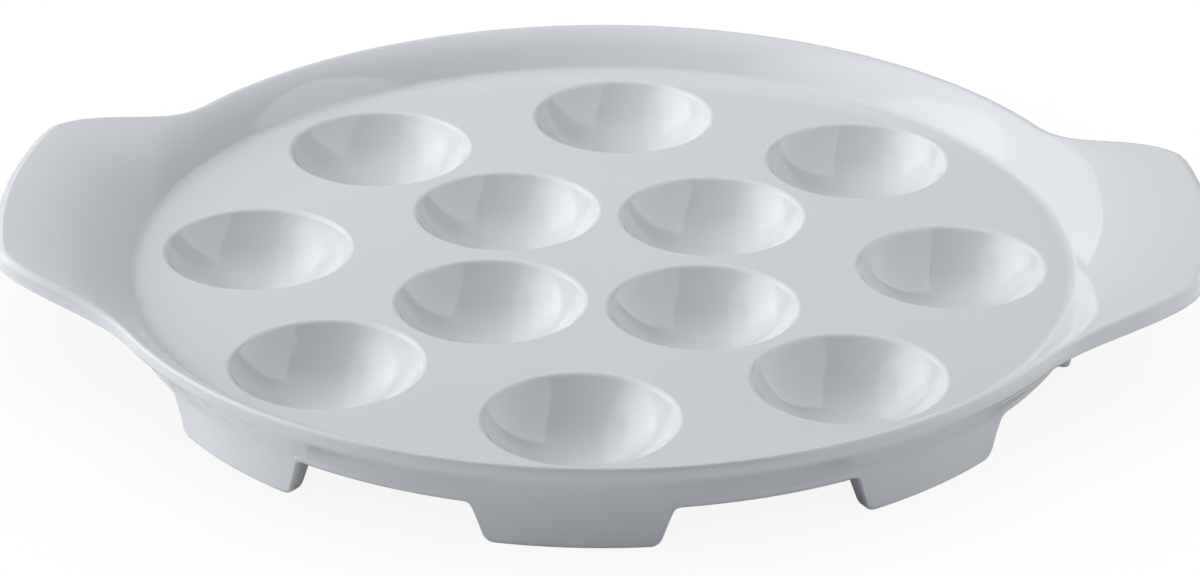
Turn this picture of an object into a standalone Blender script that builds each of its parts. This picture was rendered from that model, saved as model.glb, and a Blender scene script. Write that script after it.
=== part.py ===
"""Porcelain snail dish: a round tray with twelve wells, two handles and eight feet.

The tray is turned and its wells are sunk with turned cutters. The handles and the feet are lofted
pieces, stuck to the tray with slip before it is fired, so every joint is rigid.

Metres, +Z up. X runs through the handles, and the origin is on the table under the tray's centre.
"""

import math

import bmesh
import bpy
from mathutils import Vector
from mathutils.geometry import interpolate_bezier

# Tray floor
FLOOR_Z = 0.0144
FLOOR_THICKNESS = 0.0050
FLOOR_EDGE_R = 0.0930
FLOOR_FILLET = 0.0030

# Rim: a wall that leans out to a lip with a soft top, a crisper outer edge and a full under side.
# Angles are slopes from level.
RIM_R = 0.1039
LIP_RISE = 0.0071
LIP_ROUND = 0.0020
LIP_EDGE_ROUND = 0.0008
LIP_UNDER_ROUND = 0.0026
LIP_BREAK = math.radians(15)
WALL_ANGLE = math.radians(46)
LIP_ANGLE = math.radians(29)
LIP_UNDER_ANGLE = math.radians(50)
LIP_PULL = 0.0023

# Outside of the tray: the shoulder under the rim, and the ring that the feet are stuck to
SHOULDER_R = 0.0986
SHOULDER_Z = FLOOR_Z - 0.0010
SHOULDER_ANGLE = math.radians(52)
SHOULDER_PULL = 0.0028
RING_OUTER_R = 0.0958
RING_INNER_R = 0.0910
RING_Z = 0.0083
RING_ANGLE = math.radians(80)
RING_PULL = 0.0019
RING_CHAMFER = 0.0013

# Wells: round bowls with a softened edge
OUTER_WELLS = 8
INNER_WELLS = 4
OUTER_CIRCLE_R = 0.0700
DIAGONAL_STEP_OUT = 0.0012
INNER_CIRCLE_R = 0.0298
WELL_EDGE_R = 0.0196
WELL_EDGE_ROUND = 0.0015
WELL_EDGE_ANGLE = math.radians(59)
WELL_WALL = 0.0025
BOWL_R = (WELL_EDGE_R - WELL_EDGE_ROUND * math.sin(WELL_EDGE_ANGLE)) / math.sin(WELL_EDGE_ANGLE)
BOWL_CENTRE_Z = BOWL_R * math.cos(WELL_EDGE_ANGLE) - WELL_EDGE_ROUND * (1 - math.cos(WELL_EDGE_ANGLE))

# Handles: the rim carried on outwards to a broad tab, with a flatter and flatter slope
HANDLE_R = 0.1217
HANDLE_LIP_RISE = 0.0123
HANDLE_WALL_ANGLE = math.radians(43.5)
HANDLE_LIP_ANGLE = math.radians(10)
HANDLE_UNDER_ANGLE = math.radians(12)
HANDLE_PULL = 0.0120
HANDLE_SEAT_R = 0.0955
HANDLE_TIP_ANGLE = math.radians(13.5)
HANDLE_ROOT_ANGLE = math.radians(32.7)
HANDLE_SHOULDER = 1.5
FLARE_LEVEL = 2.6
FLARE_LIFT = 1.3

# Feet
FOOT_ROOT_ANGLE = math.radians(12.3)
FOOT_SIDE_ANGLE = math.radians(70)
FOOT_CORNER_ROUND = 0.0024
FOOT_ROOT_FILLET = 0.0016
FOOT_EDGE_ROUND = 0.0009
FOOT_BOTTOM_OUTER_R = 0.0952
FOOT_BOTTOM_INNER_R = 0.0914
FOOT_NAMES = (
    "foot_right",
    "foot_back_right",
    "foot_back",
    "foot_back_left",
    "foot_left",
    "foot_front_left",
    "foot_front",
    "foot_front_right",
)

# Gap between pieces that touch, and how far a cutter runs past a face
JOINT_GAP = 0.0003
CUT_MARGIN = 0.0010

# Facets
TRAY_STEPS = 72
WELL_STEPS = 24
BULGE_STEPS = 16
HANDLE_STEPS = 30
NOTCH_STEPS = 6
FOOT_ARC_STEPS = 8

PORCELAIN = (0.72, 0.74, 0.75, 1.0)
FOOT_PORCELAIN = (0.70, 0.72, 0.73, 1.0)


def clear_scene():
    for obj in list(bpy.data.objects):
        bpy.data.objects.remove(obj, do_unlink=True)


def new_collection(name):
    collection = bpy.data.collections.new(name)
    bpy.context.scene.collection.children.link(collection)
    return collection


def new_material(name, colour, roughness):
    material = bpy.data.materials.new(name)
    material.use_nodes = True
    shader = material.node_tree.nodes["Principled BSDF"]
    shader.inputs["Base Color"].default_value = colour
    shader.inputs["Roughness"].default_value = roughness
    shader.inputs["Metallic"].default_value = 0.0
    return material


def turned(name, profile, steps, collection):
    """A turned solid: a profile of (radius, height) points that starts and ends on the axis."""
    mesh = bpy.data.meshes.new(name)
    points = [(radius, 0.0, height) for radius, height in profile]
    edges = [(k, k + 1) for k in range(len(points) - 1)]
    mesh.from_pydata(points, edges, [])
    obj = bpy.data.objects.new(name, mesh)
    collection.objects.link(obj)
    screw = obj.modifiers.new("Turn", "SCREW")
    screw.axis = "Z"
    screw.angle = math.tau
    screw.steps = steps
    screw.render_steps = steps
    screw.use_merge_vertices = True
    screw.merge_threshold = 0.00001
    screw.use_smooth_shade = True
    return obj


def lofted(name, sections, collection):
    """A closed solid skinned over sections that have matching points, with a flat cap at each end."""
    shape = bmesh.new()
    rings = [[shape.verts.new(point) for point in section] for section in sections]
    for ring, following in zip(rings, rings[1:]):
        for k in range(len(ring)):
            after = (k + 1) % len(ring)
            shape.faces.new((ring[k], ring[after], following[after], following[k]))
    shape.faces.new(rings[0])
    shape.faces.new(rings[-1])
    bmesh.ops.recalc_face_normals(shape, faces=shape.faces)
    mesh = bpy.data.meshes.new(name)
    shape.to_mesh(mesh)
    shape.free()
    mesh.shade_smooth()
    mesh.set_sharp_from_angle(angle=math.radians(40))
    obj = bpy.data.objects.new(name, mesh)
    collection.objects.link(obj)
    return obj


def boolean(obj, operation, collection):
    modifier = obj.modifiers.new(operation.title(), "BOOLEAN")
    modifier.operation = operation
    modifier.operand_type = "COLLECTION"
    modifier.collection = collection
    modifier.solver = "EXACT"


def make_cutter(obj):
    obj.hide_render = True
    obj.display_type = "WIRE"


def mix(start, end, share):
    return start + (end - start) * share


def arc(centre, radius, start, end, steps):
    """Points of an arc in the (radius, height) plane."""
    turns = [mix(start, end, k / steps) for k in range(steps + 1)]
    return [(centre[0] + radius * math.cos(turn), centre[1] + radius * math.sin(turn)) for turn in turns]


def beyond(point, angle, distance):
    """The point a distance away in the (radius, height) plane, in a direction given by its slope."""
    return (point[0] + distance * math.cos(angle), point[1] + distance * math.sin(angle))


def bezier(start, start_pull, end_pull, end, count):
    """Points of a cubic curve in the (radius, height) plane."""
    corners = [Vector((r, z, 0.0)) for r, z in (start, start_pull, end_pull, end)]
    return [(point.x, point.y) for point in interpolate_bezier(*corners, count)]


def rim_lip(share):
    """Section of the lip where the edge has moved out by a share of a handle's reach.

    Gives its points, from the upper side over the top to the under side, and the slopes at both ends.
    """
    level = 1 - (1 - share) ** FLARE_LEVEL
    lift = share * (FLARE_LIFT - (FLARE_LIFT - 1) * share)
    upper_angle = mix(LIP_ANGLE, HANDLE_LIP_ANGLE, level)
    under_angle = mix(LIP_UNDER_ANGLE, HANDLE_UNDER_ANGLE, level)
    edge_round = mix(LIP_EDGE_ROUND, LIP_ROUND, level)
    under_round = mix(LIP_UNDER_ROUND, LIP_ROUND, level)
    top_z = FLOOR_Z + mix(LIP_RISE, HANDLE_LIP_RISE, lift)
    under_r = mix(RIM_R, HANDLE_R, share) - under_round
    edge_r = under_r + (under_round - edge_round) * math.cos(LIP_BREAK)
    edge_centre = (edge_r, top_z - edge_round)
    under_centre = beyond(edge_centre, LIP_BREAK, edge_round - under_round)
    crown = arc((edge_r, top_z - LIP_ROUND), LIP_ROUND, math.pi / 2 + upper_angle, math.pi / 2, 2)
    edge = arc(edge_centre, edge_round, math.pi / 2, LIP_BREAK, 3)
    under = arc(under_centre, under_round, LIP_BREAK, under_angle - math.pi / 2, 2)
    return crown + edge[1:] + under[1:], upper_angle, under_angle


def wall_upper_side(share, inner_r, count):
    """Upper side of the wall, from inner_r to the lip, easing from its own slope to the lip's."""
    lip, lip_angle, _ = rim_lip(share)
    wall_angle = mix(WALL_ANGLE, HANDLE_WALL_ANGLE, share)
    start_r = FLOOR_EDGE_R + FLOOR_FILLET * math.sin(wall_angle)
    start_z = FLOOR_Z + FLOOR_FILLET * (1 - math.cos(wall_angle))
    end_r, end_z = lip[0]
    span = end_r - start_r
    points = []
    for k in range(count):
        radius = mix(inner_r, end_r, k / count)
        t = (radius - start_r) / span
        height = (
            start_z * (1 + 2 * t) * (1 - t) ** 2
            + end_z * t * t * (3 - 2 * t)
            + span * math.tan(wall_angle) * t * (1 - t) ** 2
            - span * math.tan(lip_angle) * t * t * (1 - t)
        )
        points.append((radius, height))
    return points


def lip_and_under_side(share, under_count):
    """The lip, then the under side from it in to the shoulder."""
    lip, _, under_angle = rim_lip(share)
    shoulder = (SHOULDER_R, SHOULDER_Z)
    pull = mix(LIP_PULL, HANDLE_PULL, share)
    under = bezier(
        lip[-1],
        beyond(lip[-1], under_angle, -pull),
        beyond(shoulder, SHOULDER_ANGLE, SHOULDER_PULL),
        shoulder,
        under_count,
    )
    return lip + under[1:]


def tray_profile():
    """Half-section of the tray without its wells, from the floor's middle round to its under side."""
    fillet_centre = (FLOOR_EDGE_R, FLOOR_Z + FLOOR_FILLET)
    fillet = arc(fillet_centre, FLOOR_FILLET, -math.pi / 2, WALL_ANGLE - math.pi / 2, 3)
    shoulder = (SHOULDER_R, SHOULDER_Z)
    ring_edge = (RING_OUTER_R, RING_Z)
    outside = bezier(
        shoulder,
        beyond(shoulder, SHOULDER_ANGLE, -RING_PULL),
        beyond(ring_edge, RING_ANGLE, RING_PULL),
        ring_edge,
        5,
    )
    under_z = FLOOR_Z - FLOOR_THICKNESS
    return (
        [(0.0, FLOOR_Z)]
        + fillet
        + wall_upper_side(0.0, fillet[-1][0], 3)[1:]
        + lip_and_under_side(0.0, 4)
        + outside[1:]
        + [(RING_INNER_R, RING_Z), (RING_INNER_R, under_z), (0.0, under_z)]
    )


def well_cutter_profile():
    """What a well removes. Its rounded edge meets the floor at a small angle and runs on above it."""
    edge_centre = (WELL_EDGE_R, -WELL_EDGE_ROUND)
    first_angle = math.radians(14)
    edge = arc(edge_centre, WELL_EDGE_ROUND, math.pi / 2 + first_angle, math.pi / 2 + WELL_EDGE_ANGLE, 2)
    above = (edge[0][0] + CUT_MARGIN / math.tan(first_angle), edge[0][1] + CUT_MARGIN)
    bowl = arc((0.0, BOWL_CENTRE_Z), BOWL_R, WELL_EDGE_ANGLE - math.pi / 2, -math.pi / 2, 5)
    bottom = (0.0, bowl[-1][1])
    return [(0.0, above[1]), above] + edge + bowl[1:-1] + [bottom]


def well_bulge_profile():
    """Under side of a well: its bowl set off by the wall's thickness, with the top inside the floor."""
    top_z = -FLOOR_THICKNESS / 2
    radius = BOWL_R + WELL_WALL
    top_angle = math.asin((top_z - BOWL_CENTRE_Z) / radius)
    bulge = arc((0.0, BOWL_CENTRE_Z), radius, top_angle, -math.pi / 2, 5)
    bottom = (0.0, bulge[-1][1])
    return [(0.0, top_z)] + bulge[:-1] + [bottom]


def well_places():
    """Azimuth and radius of each well: eight around the floor, then four between them and the middle."""
    places = []
    for k in range(OUTER_WELLS):
        step_out = DIAGONAL_STEP_OUT if k % 2 else 0.0
        places.append((math.tau * k / OUTER_WELLS, OUTER_CIRCLE_R + step_out))
    for k in range(INNER_WELLS):
        places.append((math.tau * (k + 0.5) / INNER_WELLS, INNER_CIRCLE_R))
    return places


def handle_share(azimuth):
    """Share of the handle's reach at an angle from its middle: 0 at the rim, 1 at the tip."""
    span = HANDLE_ROOT_ANGLE - HANDLE_TIP_ANGLE
    t = min(max((abs(azimuth) - HANDLE_TIP_ANGLE) / span, 0.0), 1.0)
    return (1 - t * t * (3 - 2 * t)) ** HANDLE_SHOULDER


def around(profile, azimuth):
    """A (radius, height) profile stood up in the radial plane at an azimuth."""
    return [(r * math.cos(azimuth), r * math.sin(azimuth), z) for r, z in profile]


def make_handle(name, facing, parts):
    """A handle with the stretch of wall that it grows out of, seated on the shoulder."""
    inner_r = HANDLE_SEAT_R + JOINT_GAP
    reach = HANDLE_ROOT_ANGLE - JOINT_GAP / RIM_R
    sections = []
    for k in range(HANDLE_STEPS + 1):
        azimuth = reach * (2 * k / HANDLE_STEPS - 1)
        share = handle_share(azimuth)
        profile = wall_upper_side(share, inner_r, 7) + lip_and_under_side(share, 6)
        sections.append(around(profile + [(inner_r, SHOULDER_Z)], facing + azimuth))
    return lofted(name, sections, parts)


def make_handle_cutter(name, facing, cutters):
    """The stretch of rim that makes way for a handle."""
    low_z = SHOULDER_Z - JOINT_GAP
    high_z = FLOOR_Z + LIP_RISE + CUT_MARGIN
    outer_r = RIM_R + CUT_MARGIN
    corners = [(HANDLE_SEAT_R, low_z), (outer_r, low_z), (outer_r, high_z), (HANDLE_SEAT_R, high_z)]
    sections = []
    for k in range(HANDLE_STEPS + 1):
        azimuth = HANDLE_ROOT_ANGLE * (2 * k / HANDLE_STEPS - 1)
        sections.append(around(corners, facing + azimuth))
    make_cutter(lofted(name, sections, cutters))


def make_ring_edge_cutter(name, facing, cutters):
    """Breaks the ring's lower outer edge between two feet."""
    low_z = RING_Z - CUT_MARGIN
    high_z = RING_Z + RING_CHAMFER + CUT_MARGIN
    outer_r = RING_OUTER_R + CUT_MARGIN
    inner_r = RING_OUTER_R - RING_CHAMFER - CUT_MARGIN
    corners = [(outer_r, low_z), (outer_r, high_z), (inner_r, low_z)]
    reach = math.pi / len(FOOT_NAMES) - FOOT_ROOT_ANGLE
    sections = []
    for k in range(NOTCH_STEPS + 1):
        azimuth = reach * (2 * k / NOTCH_STEPS - 1)
        sections.append(around(corners, facing + azimuth))
    make_cutter(lofted(name, sections, cutters))


def make_tray(parts, bulges, cutters):
    tray = turned("tray", tray_profile(), TRAY_STEPS, parts)
    for k, (azimuth, radius) in enumerate(well_places()):
        place = (radius * math.cos(azimuth), radius * math.sin(azimuth), FLOOR_Z)
        bulge = turned(f"well_bulge_{k + 1}", well_bulge_profile(), BULGE_STEPS, bulges)
        well = turned(f"well_cutter_{k + 1}", well_cutter_profile(), WELL_STEPS, cutters)
        for tool in (bulge, well):
            tool.location = place
            tool.rotation_euler.z = azimuth
            make_cutter(tool)
    make_handle_cutter("right_handle_cutter", 0.0, cutters)
    make_handle_cutter("left_handle_cutter", math.pi, cutters)
    for k in range(len(FOOT_NAMES)):
        facing = math.tau * (k + 0.5) / len(FOOT_NAMES)
        make_ring_edge_cutter(f"ring_edge_cutter_{k + 1}", facing, cutters)
    boolean(tray, "UNION", bulges)
    boolean(tray, "DIFFERENCE", cutters)
    return tray


def foot_side():
    """One side of a foot as (half-width, height): rounded corner, slanting side, root fillet."""
    run, rise = math.sin(FOOT_SIDE_ANGLE), 1 - math.cos(FOOT_SIDE_ANGLE)
    bend = FOOT_CORNER_ROUND + FOOT_ROOT_FILLET
    root = RING_OUTER_R * FOOT_ROOT_ANGLE
    sole = root - bend * run - (RING_Z - bend * rise) / math.tan(FOOT_SIDE_ANGLE)
    corner_centre = (sole, FOOT_CORNER_ROUND)
    fillet_centre = (root, RING_Z - FOOT_ROOT_FILLET)
    top_turn = math.pi - math.asin(1 - JOINT_GAP / FOOT_ROOT_FILLET)
    corner = arc(corner_centre, FOOT_CORNER_ROUND, -math.pi / 2, FOOT_SIDE_ANGLE - math.pi / 2, 3)
    fillet = arc(fillet_centre, FOOT_ROOT_FILLET, FOOT_SIDE_ANGLE + math.pi / 2, top_turn, 2)
    return corner + fillet


def foot_section(facing, half_width, height):
    """A level slice of a foot: part of a ring, drawn in a little where the sole's edges are rounded."""
    share = height / RING_Z
    depth = max(FOOT_EDGE_ROUND - height, 0.0)
    inset = FOOT_EDGE_ROUND - math.sqrt(FOOT_EDGE_ROUND**2 - depth**2)
    outer_r = mix(FOOT_BOTTOM_OUTER_R, RING_OUTER_R, share) - inset
    inner_r = mix(FOOT_BOTTOM_INNER_R, RING_INNER_R, share) + inset
    half_angle = half_width / RING_OUTER_R
    turns = [half_angle * (2 * k / FOOT_ARC_STEPS - 1) for k in range(FOOT_ARC_STEPS + 1)]
    arcs = [(outer_r, turn) for turn in turns] + [(inner_r, turn) for turn in reversed(turns)]
    return [(r * math.cos(facing + turn), r * math.sin(facing + turn), height) for r, turn in arcs]


def make_foot(name, facing, parts):
    """A foot narrows downwards from the ring and stands on a flat sole."""
    sections = [foot_section(facing, half_width, height) for half_width, height in foot_side()]
    return lofted(name, sections, parts)


def main():
    clear_scene()
    parts = new_collection("snail_dish")
    bulges = new_collection("well_bulges")
    cutters = new_collection("cutters")
    porcelain = new_material("glazed_porcelain", PORCELAIN, 0.12)
    foot_porcelain = new_material("foot_porcelain", FOOT_PORCELAIN, 0.20)
    glazed = [make_tray(parts, bulges, cutters)]
    glazed.append(make_handle("right_handle", 0.0, parts))
    glazed.append(make_handle("left_handle", math.pi, parts))
    feet = []
    for k, name in enumerate(FOOT_NAMES):
        feet.append(make_foot(name, math.tau * k / len(FOOT_NAMES), parts))
    for obj in glazed:
        obj.data.materials.append(porcelain)
    for obj in feet:
        obj.data.materials.append(foot_porcelain)


main()
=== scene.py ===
import math

import bpy
import numpy as np
from mathutils import Matrix, Vector
from mathutils.geometry import delaunay_2d_cdt


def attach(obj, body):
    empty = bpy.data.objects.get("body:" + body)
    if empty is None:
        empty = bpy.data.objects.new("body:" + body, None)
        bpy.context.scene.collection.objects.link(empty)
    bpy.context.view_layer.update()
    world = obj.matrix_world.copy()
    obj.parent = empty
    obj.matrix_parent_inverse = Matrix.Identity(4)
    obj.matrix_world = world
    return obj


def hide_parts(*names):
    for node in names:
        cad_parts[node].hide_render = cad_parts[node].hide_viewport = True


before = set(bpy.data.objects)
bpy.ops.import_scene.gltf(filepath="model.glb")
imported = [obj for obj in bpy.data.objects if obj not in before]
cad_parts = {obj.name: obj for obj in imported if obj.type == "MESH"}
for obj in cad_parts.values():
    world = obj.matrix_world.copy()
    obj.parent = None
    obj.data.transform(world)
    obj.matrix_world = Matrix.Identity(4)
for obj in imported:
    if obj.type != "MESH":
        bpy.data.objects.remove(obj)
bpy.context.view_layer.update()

# Shape of the dish, in metres, with the same sizes as its solids
FLOOR_Z = 0.0144
FLOOR_THICKNESS = 0.0050
FLOOR_EDGE_R = 0.0930
FLOOR_FILLET = 0.0030

RIM_R = 0.1039
LIP_ROUND = 0.0020
LIP_EDGE_ROUND = 0.0008
LIP_UNDER_ROUND = 0.0026
LIP_BREAK = math.radians(15)
LIP_RISE = 0.0071
WALL_ANGLE = math.radians(46)
LIP_ANGLE = math.radians(29)
LIP_UNDER_ANGLE = math.radians(50)
LIP_PULL = 0.0023

SHOULDER_R = 0.0986
SHOULDER_Z = FLOOR_Z - 0.0010
SHOULDER_ANGLE = math.radians(52)
SHOULDER_PULL = 0.0028
RING_OUTER_R = 0.0958
RING_INNER_R = 0.0910
RING_Z = 0.0083
RING_ROUND = 0.0022
RING_INNER_ROUND = 0.0009
# How far above the ring the rows along its seam lie between two feet, outside and inside
SEAM_RISE = 0.0028
INNER_SEAM_RISE = 0.0011
# Knots of the outside below the shoulder: height, radius, slope
SKIRT_KNOTS = (
    (0.0000, 0.0952, 0.03),
    (RING_Z, RING_OUTER_R, 0.18),
    (SHOULDER_Z, SHOULDER_R, 0.78),
)

OUTER_WELLS = 8
INNER_WELLS = 4
OUTER_CIRCLE_R = 0.0700
DIAGONAL_STEP_OUT = 0.0012
INNER_CIRCLE_R = 0.0298
WELL_EDGE_R = 0.0196
WELL_EDGE_ROUND = 0.0015
WELL_EDGE_ANGLE = math.radians(59)
WELL_WALL = 0.0025
BOWL_R = (WELL_EDGE_R - WELL_EDGE_ROUND * math.sin(WELL_EDGE_ANGLE)) / math.sin(WELL_EDGE_ANGLE)
BOWL_CENTRE_Z = BOWL_R * math.cos(WELL_EDGE_ANGLE) - WELL_EDGE_ROUND * (1 - math.cos(WELL_EDGE_ANGLE))
# Softening where the under side of a well leaves the floor's
BULGE_EASE = 0.0007
BULGE_EASE_ANGLE = math.radians(1.5)

HANDLE_R = 0.1217
HANDLE_LIP_RISE = 0.0123
HANDLE_WALL_ANGLE = math.radians(43.5)
HANDLE_LIP_ANGLE = math.radians(10)
HANDLE_UNDER_ANGLE = math.radians(12)
HANDLE_PULL = 0.0120
HANDLE_SEAT_R = 0.0955
HANDLE_TIP_ANGLE = math.radians(13.5)
HANDLE_ROOT_ANGLE = math.radians(32.7)
HANDLE_SHOULDER = 1.5
FLARE_LEVEL = 2.6
FLARE_LIFT = 1.3

FOOT_COUNT = 8
FOOT_ROOT_ANGLE = math.radians(12.3)
FOOT_SIDE_ANGLE = math.radians(70)
FOOT_CORNER_ROUND = 0.0024
FOOT_ROOT_FILLET = 0.0016
FOOT_ROUND = 0.0011
FOOT_INNER_STEP = 0.0004
FOOT_NAMES = (
    "foot_right",
    "foot_back_right",
    "foot_back",
    "foot_back_left",
    "foot_left",
    "foot_front_left",
    "foot_front",
    "foot_front_right",
)

# How a foot's half-width grows from its sole over its corner round and slanting side to its root
FOOT_BEND = FOOT_CORNER_ROUND + FOOT_ROOT_FILLET
FOOT_ROOT = RING_OUTER_R * FOOT_ROOT_ANGLE
FOOT_FILLET = FOOT_ROOT - FOOT_ROOT_FILLET * math.sin(FOOT_SIDE_ANGLE)
FOOT_SLANT = (RING_Z - FOOT_BEND * (1 - math.cos(FOOT_SIDE_ANGLE))) / math.tan(FOOT_SIDE_ANGLE)
FOOT_CORNER = FOOT_FILLET - FOOT_SLANT
FOOT_SOLE = FOOT_CORNER - FOOT_CORNER_ROUND * math.sin(FOOT_SIDE_ANGLE)

# Mesh density
SOLE_COLUMNS = 16
SIDE_COLUMNS = 6
GAP_COLUMNS = 16
FILLET_ROWS = 6
SEAT_ROWS = 2
WALL_ROWS = 14
LIP_ROWS = 6
UNDER_ROWS = 12
SHOULDER_ROWS = 6
SKIRT_ROWS = 4
EDGE_ROWS = 6
INNER_EDGE_ROWS = 5
INNER_ROWS = 3
WELL_STEPS = 72
WELL_EDGE_ROWS = 6
BOWL_ROWS = 14
BULGE_STEPS = 48
BULGE_ROWS = 12
# Differences that count as none, in metres or radians
TINY = 1e-6
TINIEST = 1e-9

# The photo's view, found from the wells and the outline. Lengths are in radii of the outer circle.
CAMERA_AZIMUTH = math.radians(3.5383)
CAMERA_ELEVATION = math.radians(26.0625)
CAMERA_ROLL = math.radians(-0.0282)
CAMERA_DISTANCE = OUTER_CIRCLE_R * 13.7013
CAMERA_TARGET = Vector((OUTER_CIRCLE_R * 0.0037, -OUTER_CIRCLE_R * 0.2022, FLOOR_Z))
FOCAL_LENGTH_PX = 4821.66
IMAGE_WIDTH_PX = 1200
SENSOR_WIDTH = 36.0

# Glaze, with the range of its tone and gloss and the fineness and height of its unevenness
GLAZE_COLOUR = (0.718, 0.755, 0.785)
GLAZE_IOR = 1.5
GLAZE_ROUGHNESS = 0.035
FOOT_ROUGHNESS = 0.05
TONE_RANGE = (0.975, 1.02)
TONE_FINENESS = 28.0
GLOSS_RANGE = (0.8, 1.25)
GLOSS_FINENESS = 60.0
RIPPLE_FINENESS = 55.0
RIPPLE_STRENGTH = 0.12
RIPPLE_HEIGHT = 0.0006

# Table and room
TABLE_HALF_WIDTH = 6.0
TABLE_COLOUR = (0.92, 0.92, 0.92, 1.0)
# The table's shadow as the camera sees it is painted: within this reach of the dish, ambient occlusion
# darkens its white glow down to this level
PAINTED_SHADOW_REACH = 0.05
PAINTED_SHADOW_DARKEST = 0.90
ROOM_LIGHT = 0.01


def mix(start, end, share):
    return start + (end - start) * share


def hermite(knots, x):
    """Value and slope of a curve through (x, value, slope) knots."""
    last = len(knots) - 2
    index = 0
    while index < last and x > knots[index + 1][0]:
        index += 1
    (x0, y0, s0), (x1, y1, s1) = knots[index], knots[index + 1]
    span = x1 - x0
    t = (x - x0) / span
    value = (
        y0 * (1 + 2 * t) * (1 - t) ** 2
        + y1 * t * t * (3 - 2 * t)
        + span * s0 * t * (1 - t) ** 2
        - span * s1 * t * t * (1 - t)
    )
    slope = 6 * t * (1 - t) * (y1 - y0) / span + s0 * (1 - t) * (1 - 3 * t) + s1 * t * (3 * t - 2)
    return value, slope


def smoothstep(t):
    t = min(max(t, 0.0), 1.0)
    return t * t * (3 - 2 * t)


def nearest_turn(azimuth, step):
    """Angle from the nearest multiple of step."""
    return (azimuth + step / 2) % step - step / 2


def handle_share(azimuth):
    """How far the edge has moved out to a handle: 0 at the rim, 1 at the tip."""
    off = abs(nearest_turn(azimuth, math.pi))
    way = (off - HANDLE_TIP_ANGLE) / (HANDLE_ROOT_ANGLE - HANDLE_TIP_ANGLE)
    return (1 - smoothstep(way)) ** HANDLE_SHOULDER


def low_edge(azimuth):
    """Height of the lowest edge: 0 under a foot, the ring's own between two feet."""
    x = RING_OUTER_R * abs(nearest_turn(azimuth, math.tau / FOOT_COUNT))
    if x <= FOOT_SOLE:
        return 0.0
    if x <= FOOT_CORNER:
        return FOOT_CORNER_ROUND - math.sqrt(FOOT_CORNER_ROUND**2 - (x - FOOT_SOLE) ** 2)
    if x <= FOOT_FILLET:
        corner_z = FOOT_CORNER_ROUND * (1 - math.cos(FOOT_SIDE_ANGLE))
        return corner_z + (x - FOOT_CORNER) * math.tan(FOOT_SIDE_ANGLE)
    if x <= FOOT_ROOT:
        return RING_Z - FOOT_ROOT_FILLET + math.sqrt(FOOT_ROOT_FILLET**2 - (FOOT_ROOT - x) ** 2)
    return RING_Z


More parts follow.
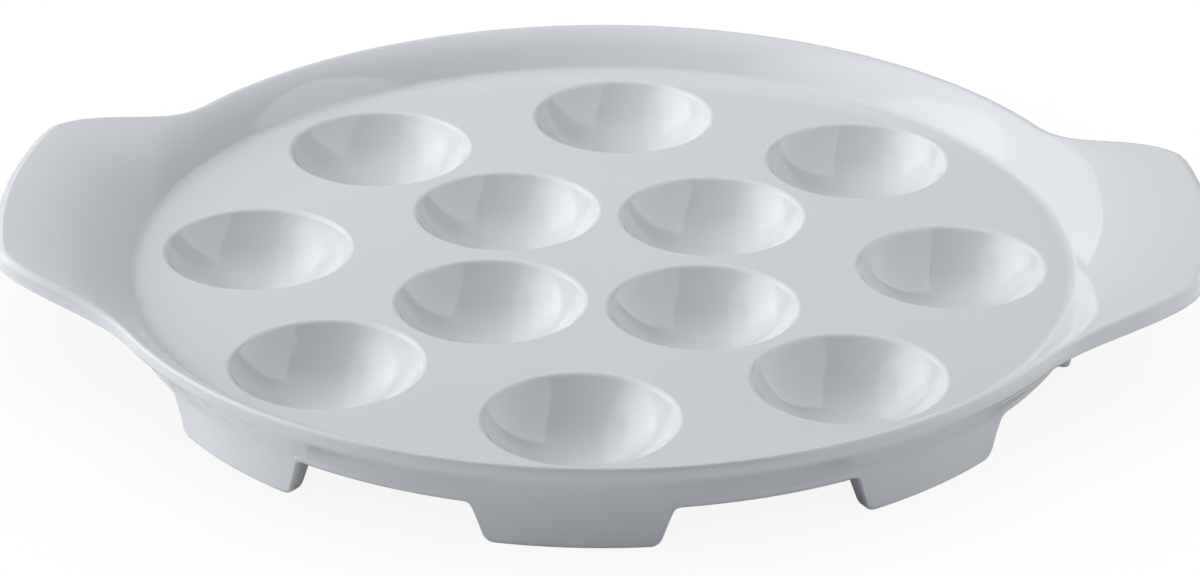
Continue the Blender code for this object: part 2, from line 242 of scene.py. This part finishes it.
def section(azimuth):
    """Half-section at an azimuth, from the floor's edge over the rim to the floor's under side.

    Rows of radius, height and the direction of travel. Every azimuth has the same rows.
    """
    rows = []

    def arc(centre_r, centre_z, radius, start, end, count, closed=False):
        way = 1.0 if end < start else -1.0
        for k in range(count + closed):
            turn = mix(start, end, k / count)
            sine, cosine = math.sin(turn), math.cos(turn)
            place = (centre_r + radius * cosine, centre_z + radius * sine)
            rows.append((*place, way * sine, -way * cosine))

    def along_wall(knots, start, end, count):
        for k in range(count):
            radius = mix(start, end, k / count)
            height, slope = hermite(knots, radius)
            rows.append((radius, height, 1.0, slope))

    def along_skirt(start, end, count):
        for k in range(count):
            height = mix(start, end, k / count)
            radius, slope = hermite(SKIRT_KNOTS, height)
            rows.append((radius, height, -slope, -1.0))

    def bezier(corners, count):
        a, b, c, d = (np.array(corner) for corner in corners)
        for k in range(count):
            t = k / count
            place = a * (1 - t) ** 3 + b * 3 * t * (1 - t) ** 2 + c * 3 * t * t * (1 - t) + d * t**3
            way = (b - a) * (1 - t) ** 2 + (c - b) * 2 * t * (1 - t) + (d - c) * t * t
            rows.append((*place, *way))

    share = handle_share(azimuth)
    level = 1 - (1 - share) ** FLARE_LEVEL
    raised = share * (FLARE_LIFT - (FLARE_LIFT - 1) * share)
    edge_round = mix(LIP_EDGE_ROUND, LIP_ROUND, level)
    under_round = mix(LIP_UNDER_ROUND, LIP_ROUND, level)
    ease = edge_round - under_round
    top_r = mix(RIM_R, HANDLE_R, share) - under_round - ease * math.cos(LIP_BREAK)
    top_z = FLOOR_Z + mix(LIP_RISE, HANDLE_LIP_RISE, raised)
    upper_angle = mix(LIP_ANGLE, HANDLE_LIP_ANGLE, level)
    under_angle = mix(LIP_UNDER_ANGLE, HANDLE_UNDER_ANGLE, level)
    wall_angle = mix(WALL_ANGLE, HANDLE_WALL_ANGLE, share)
    start_r = FLOOR_EDGE_R + FLOOR_FILLET * math.sin(wall_angle)
    start_z = FLOOR_Z + FLOOR_FILLET * (1 - math.cos(wall_angle))
    end_r = top_r - LIP_ROUND * math.sin(upper_angle)
    end_z = top_z - LIP_ROUND * (1 - math.cos(upper_angle))
    wall_knots = ((start_r, start_z, math.tan(wall_angle)), (end_r, end_z, math.tan(upper_angle)))
    lower_r = top_r + ease * math.cos(LIP_BREAK)
    lower_z = top_z - edge_round + ease * math.sin(LIP_BREAK)
    under_r = lower_r + under_round * math.sin(under_angle)
    under_z = lower_z - under_round * math.cos(under_angle)
    pull = mix(LIP_PULL, HANDLE_PULL, share)

    low_z = low_edge(azimuth)
    notch = low_z / RING_Z
    seam_z = RING_Z + SEAM_RISE * notch
    inner_seam_z = RING_Z + INNER_SEAM_RISE * notch
    round_out = mix(FOOT_ROUND, RING_ROUND, notch)
    round_in = mix(FOOT_ROUND, RING_INNER_ROUND, notch)
    outer_r = hermite(SKIRT_KNOTS, low_z + round_out)[0]
    inner_r = RING_INNER_R + FOOT_INNER_STEP * (1 - notch)

    right = math.pi / 2
    arc(FLOOR_EDGE_R, FLOOR_Z + FLOOR_FILLET, FLOOR_FILLET, -right, wall_angle - right, FILLET_ROWS)
    along_wall(wall_knots, start_r, HANDLE_SEAT_R, SEAT_ROWS)
    marks = [len(rows)]
    along_wall(wall_knots, HANDLE_SEAT_R, end_r, WALL_ROWS)
    arc(top_r, top_z - LIP_ROUND, LIP_ROUND, right + upper_angle, right, LIP_ROWS)
    arc(top_r, top_z - edge_round, edge_round, right, LIP_BREAK, LIP_ROWS)
    arc(lower_r, lower_z, under_round, LIP_BREAK, under_angle - right, LIP_ROWS)
    bezier(
        (
            (under_r, under_z),
            (under_r - pull * math.cos(under_angle), under_z - pull * math.sin(under_angle)),
            (
                SHOULDER_R + SHOULDER_PULL * math.cos(SHOULDER_ANGLE),
                SHOULDER_Z + SHOULDER_PULL * math.sin(SHOULDER_ANGLE),
            ),
            (SHOULDER_R, SHOULDER_Z),
        ),
        UNDER_ROWS,
    )
    marks.append(len(rows))
    along_skirt(SHOULDER_Z, seam_z, SHOULDER_ROWS)
    marks.append(len(rows))
    along_skirt(seam_z, low_z + round_out, SKIRT_ROWS)
    arc(outer_r - round_out, low_z + round_out, round_out, 0.0, -right, EDGE_ROWS, closed=True)
    arc(inner_r + round_in, low_z + round_in, round_in, -right, -math.pi, INNER_EDGE_ROWS)
    for k in range(INNER_ROWS):
        rows.append((inner_r, mix(low_z + round_in, inner_seam_z, k / INNER_ROWS), 0.0, 1.0))
    marks.append(len(rows))
    rows.append((inner_r, inner_seam_z, 0.0, 1.0))
    rows.append((RING_INNER_R, FLOOR_Z - FLOOR_THICKNESS, 0.0, 1.0))
    return np.array(rows), marks


def column_angles():
    """Azimuths of the section columns, closest together where the feet run out."""
    steps = [mix(-FOOT_SOLE, FOOT_SOLE, k / SOLE_COLUMNS) for k in range(SOLE_COLUMNS)]
    side = []
    for k in range(SIDE_COLUMNS):
        turn = FOOT_SIDE_ANGLE * k / SIDE_COLUMNS
        side.append(FOOT_SOLE + FOOT_CORNER_ROUND * math.sin(turn))
    side += [mix(FOOT_CORNER, FOOT_FILLET, k / SIDE_COLUMNS) for k in range(SIDE_COLUMNS)]
    for k in range(SIDE_COLUMNS + 1):
        turn = FOOT_SIDE_ANGLE * (1 - k / SIDE_COLUMNS)
        side.append(FOOT_ROOT - FOOT_ROOT_FILLET * math.sin(turn))
    end = RING_OUTER_R * math.tau / FOOT_COUNT - FOOT_ROOT
    steps += side + [mix(FOOT_ROOT, end, k / GAP_COLUMNS) for k in range(1, GAP_COLUMNS + 1)]
    steps += [RING_OUTER_R * math.tau / FOOT_COUNT - x for x in side[-2:0:-1]]
    turns = [x / RING_OUTER_R for x in steps]
    return [foot * math.tau / FOOT_COUNT + turn for foot in range(FOOT_COUNT) for turn in turns]


def stand(rows, azimuth):
    """Section rows as points in space."""
    return np.stack(
        [rows[:, 0] * math.cos(azimuth), rows[:, 0] * math.sin(azimuth), rows[:, 1]], axis=-1
    )


def unit(vectors):
    return vectors / np.linalg.norm(vectors, axis=-1, keepdims=True)


def ring_surface():
    """Points and normals of the skin outside the floor, by column and row, with the marked rows."""
    points, normals = [], []
    step = 1e-4
    for azimuth in column_angles():
        rows, marks = section(azimuth)
        across = stand(section(azimuth + step)[0], azimuth + step) - stand(
            section(azimuth - step)[0], azimuth - step
        )
        travel = np.stack(
            [rows[:, 2] * math.cos(azimuth), rows[:, 2] * math.sin(azimuth), rows[:, 3]], axis=-1
        )
        points.append(stand(rows, azimuth))
        normals.append(unit(np.cross(travel, across)))
    return np.array(points), np.array(normals), marks


class Skin:
    """A piece under construction: points, faces and the normal at each corner of each face."""

    def __init__(self):
        self.points = []
        self.faces = []
        self.normals = []
        self.index = {}

    def point(self, key, place):
        if key not in self.index:
            self.index[key] = len(self.points)
            self.points.append(tuple(place))
        return self.index[key]

    def face(self, corners, normals=None):
        if normals is None:
            thirds = (0, len(corners) // 3, 2 * len(corners) // 3)
            a, b, c = (np.array(self.points[corners[k]]) for k in thirds)
            flat = tuple(unit(np.cross(b - a, c - a)))
            normals = [flat] * len(corners)
        self.faces.append(tuple(corners))
        self.normals += [tuple(normal) for normal in normals]

    def build(self, name, material):
        mesh = bpy.data.meshes.new(name)
        mesh.from_pydata(self.points, [], self.faces)
        mesh.materials.append(material)
        mesh.shade_smooth()
        mesh.normals_split_custom_set(self.normals)
        obj = bpy.data.objects.new(name, mesh)
        bpy.context.scene.collection.objects.link(obj)
        return obj


def lay_cells(skin, surface, columns, rows):
    """The skin's quads over a run of columns and rows."""
    points, normals, _ = surface
    count = len(points)
    for column in columns:
        after = (column + 1) % count
        for row in rows:
            keys = [(column, row), (column, row + 1), (after, row + 1), (after, row)]
            corners = [skin.point(key, points[key]) for key in keys]
            skin.face(corners, [normals[key] for key in keys])


def lay_joint(skin, surface, columns, top, bottom, inward):
    """The faces along which a stuck-on piece meets the tray, turned for the piece or for the tray."""
    points = surface[0]
    count = len(points)

    def lay(keys):
        corners = [skin.point(key, points[key]) for key in keys]
        skin.face(corners[::-1] if inward else corners)

    for column in columns:
        after = (column + 1) % count
        lay([(column, bottom), (column, top), (after, top), (after, bottom)])
    first, last = columns[0], (columns[-1] + 1) % count
    lay([(first, row) for row in range(bottom, top - 1, -1)])
    lay([(last, row) for row in range(top, bottom + 1)])


def well_rows():
    """A well from the floor over its edge to its bottom: radius, height, radial and upward normal."""
    rows = []
    for k in range(WELL_EDGE_ROWS):
        turn = WELL_EDGE_ANGLE * k / WELL_EDGE_ROWS
        sine, cosine = math.sin(turn), math.cos(turn)
        place = (WELL_EDGE_R - WELL_EDGE_ROUND * sine, WELL_EDGE_ROUND * (cosine - 1))
        rows.append((*place, -sine, cosine))
    for k in range(BOWL_ROWS + 1):
        turn = WELL_EDGE_ANGLE * (1 - k / BOWL_ROWS)
        sine, cosine = math.sin(turn), math.cos(turn)
        rows.append((BOWL_R * sine, BOWL_CENTRE_Z - BOWL_R * cosine, -sine, cosine))
    return rows


def bulge_rows():
    """The under side of a well, from the floor's under side down to its lowest point."""
    radius = BOWL_R + WELL_WALL
    root = math.acos((BOWL_CENTRE_Z + FLOOR_THICKNESS) / radius)
    root_r = radius * math.sin(root)
    rows = [(root_r + BULGE_EASE, -FLOOR_THICKNESS, 0.0, -1.0)]
    rows.append((root_r, -FLOOR_THICKNESS, *unit(np.array([math.sin(root), -math.cos(root) - 1.0]))))
    for k in range(BULGE_ROWS + 1):
        turn = (root - BULGE_EASE_ANGLE) * (1 - k / BULGE_ROWS)
        sine, cosine = math.sin(turn), math.cos(turn)
        rows.append((radius * sine, BOWL_CENTRE_Z - radius * cosine, sine, -cosine))
    return rows


def well_places():
    """Azimuth and radius of each well's centre."""
    places = []
    for k in range(OUTER_WELLS):
        step_out = DIAGONAL_STEP_OUT if k % 2 else 0.0
        places.append((math.tau * k / OUTER_WELLS, OUTER_CIRCLE_R + step_out))
    for k in range(INNER_WELLS):
        places.append((math.tau * (k + 0.5) / INNER_WELLS, INNER_CIRCLE_R))
    return places


def lay_hollows(skin, side, rows, steps):
    """Every well, from one side. Returns the point indices of each well's first ring."""
    rims = []
    up = 1 if side == "top" else -1
    for well, (azimuth, radius) in enumerate(well_places()):
        centre = (radius * math.cos(azimuth), radius * math.sin(azimuth))
        turns = [azimuth + math.tau * k / steps for k in range(steps)]

        def corner(ring, k):
            r, z, nr, nz = rows[ring]
            if r < TINY:
                return skin.point((side, well, ring), (*centre, FLOOR_Z + z)), (0.0, 0.0, float(up))
            turn = turns[k % steps]
            place = (centre[0] + r * math.cos(turn), centre[1] + r * math.sin(turn), FLOOR_Z + z)
            index = skin.point((side, well, ring, k % steps), place)
            return index, (nr * math.cos(turn), nr * math.sin(turn), nz)

        for ring in range(len(rows) - 1):
            for k in range(steps):
                near, far = ring, ring + 1
                cell = [corner(near, k), corner(near, k + 1), corner(far, k + 1), corner(far, k)]
                if cell[2][0] == cell[3][0]:
                    cell.pop()
                if side != "top":
                    cell.reverse()
                skin.face([index for index, _ in cell], [normal for _, normal in cell])
        rims.append([corner(0, k)[0] for k in range(steps)])
    return rims


def lay_plate(skin, outer, rims, up):
    """The level stretch between an outer ring of points and the wells' rims."""
    loops = [outer] + rims
    indices = [index for loop in loops for index in loop]
    flat = [Vector(skin.points[index][:2]) for index in indices]
    edges = []
    start = 0
    for loop in loops:
        edges += [(start + k, start + (k + 1) % len(loop)) for k in range(len(loop))]
        start += len(loop)
    result = delaunay_2d_cdt(flat, edges, [], 1, TINIEST)
    places, triangles, origins = result[0], result[2], result[3]
    centres = []
    for rim in rims:
        spots = [Vector(skin.points[index][:2]) for index in rim]
        centres.append(sum(spots, Vector((0, 0))) / len(rim))
    # How far the straight sides of a rim are from its centre: what lies nearer is inside the well
    reach = (flat[len(outer)] - centres[0]).length * math.cos(math.pi / len(rims[0]))
    for triangle in triangles:
        a, b, c = (places[k] for k in triangle)
        middle = (a + b + c) / 3
        if any((middle - centre).length < reach for centre in centres):
            continue
        corners = [indices[origins[k][0]] for k in triangle]
        if ((b - a).cross(c - a) > 0) != (up > 0):
            corners.reverse()
        skin.face(corners, [(0.0, 0.0, float(up))] * 3)


def dish_pieces(glaze, foot_glaze):
    """The tray, the handles and the feet, whose surfaces run into each other without a step."""
    surface = ring_surface()
    points, _, marks = surface
    angles = column_angles()
    count, last_row = len(angles), points.shape[1] - 1
    handle_top, handle_bottom, foot_top, foot_bottom = marks

    def columns_within(facing, reach):
        """Columns whose quads lie within reach of an azimuth, in order."""
        offs = [nearest_turn(angle - facing, math.tau) for angle in angles]
        inside = [k for k in range(count) if -reach - TINY < offs[k] < reach - TINY]
        return sorted(inside, key=lambda k: offs[k])

    taken = set()
    joints = []
    pieces = []
    for name, facing in (("right_handle", 0.0), ("left_handle", math.pi)):
        columns = columns_within(facing, HANDLE_ROOT_ANGLE)
        joints.append((name, columns, handle_top, handle_bottom, glaze, "glazed_porcelain"))
    for k, name in enumerate(FOOT_NAMES):
        columns = columns_within(k * math.tau / FOOT_COUNT, FOOT_ROOT_ANGLE)
        joints.append((name, columns, foot_top, foot_bottom, foot_glaze, "foot_porcelain"))
    tray = Skin()
    for name, columns, top, bottom, material, slot in joints:
        skin = Skin()
        lay_cells(skin, surface, columns, range(top, bottom))
        lay_joint(skin, surface, columns, top, bottom, inward=False)
        lay_joint(tray, surface, columns, top, bottom, inward=True)
        taken.update((column, row) for column in columns for row in range(top, bottom))
        pieces.append((skin.build("glazed_" + name, material), name, slot))
    for column in range(count):
        rows = [row for row in range(last_row) if (column, row) not in taken]
        lay_cells(tray, surface, [column], rows)
    floor_ring = [tray.index[(column, 0)] for column in range(count)]
    under_ring = [tray.index[(column, last_row)] for column in range(count)]
    lay_plate(tray, floor_ring, lay_hollows(tray, "top", well_rows(), WELL_STEPS), 1)
    lay_plate(tray, under_ring, lay_hollows(tray, "under", bulge_rows(), BULGE_STEPS), -1)
    pieces.append((tray.build("glazed_tray", glaze), "tray", "glazed_porcelain"))
    return pieces


def make_glaze(name, colour, roughness):
    """White glazed porcelain: a faint unevenness of tone, gloss and surface, as a fired glaze has."""
    material = bpy.data.materials.new(name)
    material.use_nodes = True
    nodes, links = material.node_tree.nodes, material.node_tree.links
    shader = nodes["Principled BSDF"]
    shader.inputs["IOR"].default_value = GLAZE_IOR
    place = nodes.new("ShaderNodeTexCoord")

    def noise(scale, detail):
        texture = nodes.new("ShaderNodeTexNoise")
        texture.inputs["Scale"].default_value = scale
        texture.inputs["Detail"].default_value = detail
        links.new(place.outputs["Object"], texture.inputs["Vector"])
        return texture.outputs["Fac"]

    # The colours of a mix node are its inputs 6 and 7 and its output 2
    tone = nodes.new("ShaderNodeMix")
    tone.data_type = "RGBA"
    for socket, share in zip((6, 7), TONE_RANGE):
        tone.inputs[socket].default_value = (*(channel * share for channel in colour), 1.0)
    links.new(noise(TONE_FINENESS, 3.0), tone.inputs[0])
    links.new(tone.outputs[2], shader.inputs["Base Color"])
    gloss = nodes.new("ShaderNodeMapRange")
    gloss.inputs["From Min"].default_value = 0.3
    gloss.inputs["From Max"].default_value = 0.7
    gloss.inputs["To Min"].default_value = roughness * GLOSS_RANGE[0]
    gloss.inputs["To Max"].default_value = roughness * GLOSS_RANGE[1]
    links.new(noise(GLOSS_FINENESS, 2.0), gloss.inputs["Value"])
    links.new(gloss.outputs["Result"], shader.inputs["Roughness"])
    bump = nodes.new("ShaderNodeBump")
    bump.inputs["Strength"].default_value = RIPPLE_STRENGTH
    bump.inputs["Distance"].default_value = RIPPLE_HEIGHT
    links.new(noise(RIPPLE_FINENESS, 1.0), bump.inputs["Height"])
    links.new(bump.outputs["Normal"], shader.inputs["Normal"])
    return material


def make_camera():
    """Looks at the dish from the front, a little from the right, as the photo does."""
    back = Vector(
        (
            math.sin(CAMERA_AZIMUTH) * math.cos(CAMERA_ELEVATION),
            -math.cos(CAMERA_AZIMUTH) * math.cos(CAMERA_ELEVATION),
            math.sin(CAMERA_ELEVATION),
        )
    )
    right = (-back).cross(Vector((0, 0, 1))).normalized()
    up = back.cross(right)
    right, up = (
        right * math.cos(CAMERA_ROLL) + up * math.sin(CAMERA_ROLL),
        up * math.cos(CAMERA_ROLL) - right * math.sin(CAMERA_ROLL),
    )
    place = CAMERA_TARGET + back * CAMERA_DISTANCE
    data = bpy.data.cameras.new("camera")
    data.sensor_width = SENSOR_WIDTH
    data.lens = FOCAL_LENGTH_PX / IMAGE_WIDTH_PX * SENSOR_WIDTH
    data.clip_end = 100.0
    camera = bpy.data.objects.new("camera", data)
    camera.matrix_world = Matrix(
        (
            (right.x, up.x, back.x, place.x),
            (right.y, up.y, back.y, place.y),
            (right.z, up.z, back.z, place.z),
            (0, 0, 0, 1),
        )
    )
    bpy.context.scene.collection.objects.link(camera)
    bpy.context.scene.camera = camera


def make_floor():
    """A wide white table, clear from below. The camera sees it as a white glow with a painted soft
    shadow near the dish, and light and reflections meet a plain matte table.
    """
    mesh = bpy.data.meshes.new("table")
    size = TABLE_HALF_WIDTH
    corners = [(-size, -size, 0), (size, -size, 0), (size, size, 0), (-size, size, 0)]
    mesh.from_pydata(corners, [], [(0, 1, 2, 3)])
    table = bpy.data.objects.new("table", mesh)
    bpy.context.scene.collection.objects.link(table)
    material = bpy.data.materials.new("white_table")
    material.use_nodes = True
    nodes, links = material.node_tree.nodes, material.node_tree.links
    nodes.remove(nodes["Principled BSDF"])
    output = nodes["Material Output"]
    matte = nodes.new("ShaderNodeBsdfDiffuse")
    matte.inputs["Color"].default_value = TABLE_COLOUR
    # Painted shadow: ambient occlusion darkens the white glow that the camera sees near the dish
    shade = nodes.new("ShaderNodeAmbientOcclusion")
    shade.inputs["Distance"].default_value = PAINTED_SHADOW_REACH
    white = nodes.new("ShaderNodeMapRange")
    white.inputs["To Min"].default_value = PAINTED_SHADOW_DARKEST
    links.new(shade.outputs["AO"], white.inputs["Value"])
    glow_with_painted_shadow = nodes.new("ShaderNodeEmission")
    links.new(white.outputs["Result"], glow_with_painted_shadow.inputs["Strength"])
    side = nodes.new("ShaderNodeNewGeometry")
    clear = nodes.new("ShaderNodeBsdfTransparent")
    one_way = nodes.new("ShaderNodeMixShader")
    links.new(side.outputs["Backfacing"], one_way.inputs[0])
    links.new(glow_with_painted_shadow.outputs[0], one_way.inputs[1])
    links.new(clear.outputs[0], one_way.inputs[2])
    path = nodes.new("ShaderNodeLightPath")
    choice = nodes.new("ShaderNodeMixShader")
    links.new(path.outputs["Is Camera Ray"], choice.inputs[0])
    links.new(matte.outputs[0], choice.inputs[1])
    links.new(one_way.outputs[0], choice.inputs[2])
    links.new(choice.outputs[0], output.inputs["Surface"])
    mesh.materials.append(material)


def make_panel(name, place, size, brightness, facing=None, soft=True, lights=True, mirrored=True):
    """A flat light that the camera does not see, turned towards the dish unless it faces elsewhere.

    A soft one fades towards its edges. One that lights nothing only shows in the glaze, and one that
    is not mirrored only lights.
    """
    data = bpy.data.lights.new(name, "AREA")
    data.shape = "RECTANGLE"
    data.size, data.size_y = size
    data.energy = math.pi * size[0] * size[1] * brightness
    if soft:
        data.use_nodes = True
        nodes, links = data.node_tree.nodes, data.node_tree.links
        geometry = nodes.new("ShaderNodeNewGeometry")
        part = nodes.new("ShaderNodeSeparateXYZ")
        links.new(geometry.outputs["Parametric"], part.inputs[0])

        def times(first, second):
            product = nodes.new("ShaderNodeMath")
            product.operation = "MULTIPLY"
            for socket, value in zip(product.inputs, (first, second)):
                if isinstance(value, float):
                    socket.default_value = value
                else:
                    links.new(value, socket)
            return product.outputs[0]

        fades = []
        for axis in ("X", "Y"):
            rest = nodes.new("ShaderNodeMath")
            rest.operation = "SUBTRACT"
            rest.inputs[0].default_value = 1.0
            links.new(part.outputs[axis], rest.inputs[1])
            fades.append(times(times(part.outputs[axis], rest.outputs[0]), 4.0))
        links.new(times(*fades), nodes["Emission"].inputs["Strength"])
    light = bpy.data.objects.new(name, data)
    light.location = place
    back = Vector(place) if facing is None else -Vector(facing)
    light.rotation_euler = back.to_track_quat("Z", "Y").to_euler()
    light.visible_camera = False
    light.visible_diffuse = lights
    light.visible_glossy = mirrored
    bpy.context.scene.collection.objects.link(light)


def make_studio():
    """Soft light from the left, weaker light from the right and from above, and a dim room."""
    key = (1.43, 0.91)
    card = (0.46, 0.39)
    card_facing = (-0.458, -0.049, 0.0)
    forwards = (0.0, -1.0, 0.0)
    make_panel("key_left", (-0.549, 0.048, 0.344), key, 0.90)
    make_panel("key_wash", (-0.545, 0.048, 0.341), key, 1.30, mirrored=False)
    make_panel("key_glare", (-0.471, 0.041, 0.369), (0.60, 0.30), 0.90, soft=False, lights=False)
    make_panel(
        "left_glare",
        (-0.233, 0.200, 0.430),
        (0.80, 0.713),
        0.80,
        facing=(0.982, 0.0, 0.189),
        soft=False,
        lights=False,
    )
    make_panel("key_heart", (-0.555, 0.049, 0.335), (0.85, 0.55), 1.17)
    make_panel("left_low", (-0.612, 0.086, 0.201), (1.10, 0.39), 0.81, mirrored=False)
    make_panel("right_card", (0.2125, -0.071, 0.195), card, 0.87, card_facing, soft=False)
    make_panel("card_glare", (0.2145, -0.071, 0.195), card, 0.48, card_facing, soft=False, lights=False)
    make_panel("right_low", (1.949, -0.171, 0.416), (2.40, 1.10), 0.23)
    make_panel("back_top", (-0.032, 0.181, 0.377), (0.66, 0.50), 1.24)
    make_panel("back_high", (-0.295, 1.200, 0.850), (2.21, 0.70), 0.37, forwards, soft=False)
    make_panel("back_low", (-0.295, 1.200, 0.250), (2.21, 0.50), 0.35, forwards, soft=False)
    make_panel("front_low", (0.169, -1.933, 0.484), (3.00, 1.00), 0.70)
    world = bpy.data.worlds.new("studio")
    world.use_nodes = True
    bpy.context.scene.world = world
    nodes, links = world.node_tree.nodes, world.node_tree.links
    back = nodes["Background"]
    back.inputs["Color"].default_value = (ROOM_LIGHT, ROOM_LIGHT, ROOM_LIGHT, 1.0)
    white = nodes.new("ShaderNodeBackground")
    white.inputs["Color"].default_value = (1.0, 1.0, 1.0, 1.0)
    path = nodes.new("ShaderNodeLightPath")
    choice = nodes.new("ShaderNodeMixShader")
    links.new(path.outputs["Is Camera Ray"], choice.inputs[0])
    links.new(back.outputs[0], choice.inputs[1])
    links.new(white.outputs[0], choice.inputs[2])
    links.new(choice.outputs[0], nodes["World Output"].inputs["Surface"])


bpy.context.scene.view_settings.view_transform = "Standard"
make_camera()
make_floor()
make_studio()
glaze = make_glaze("white_glaze", GLAZE_COLOUR, GLAZE_ROUGHNESS)
foot_glaze = make_glaze("white_foot_glaze", GLAZE_COLOUR, FOOT_ROUGHNESS)
for piece, node, slot in dish_pieces(glaze, foot_glaze):
    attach(piece, "root")
    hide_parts(node)
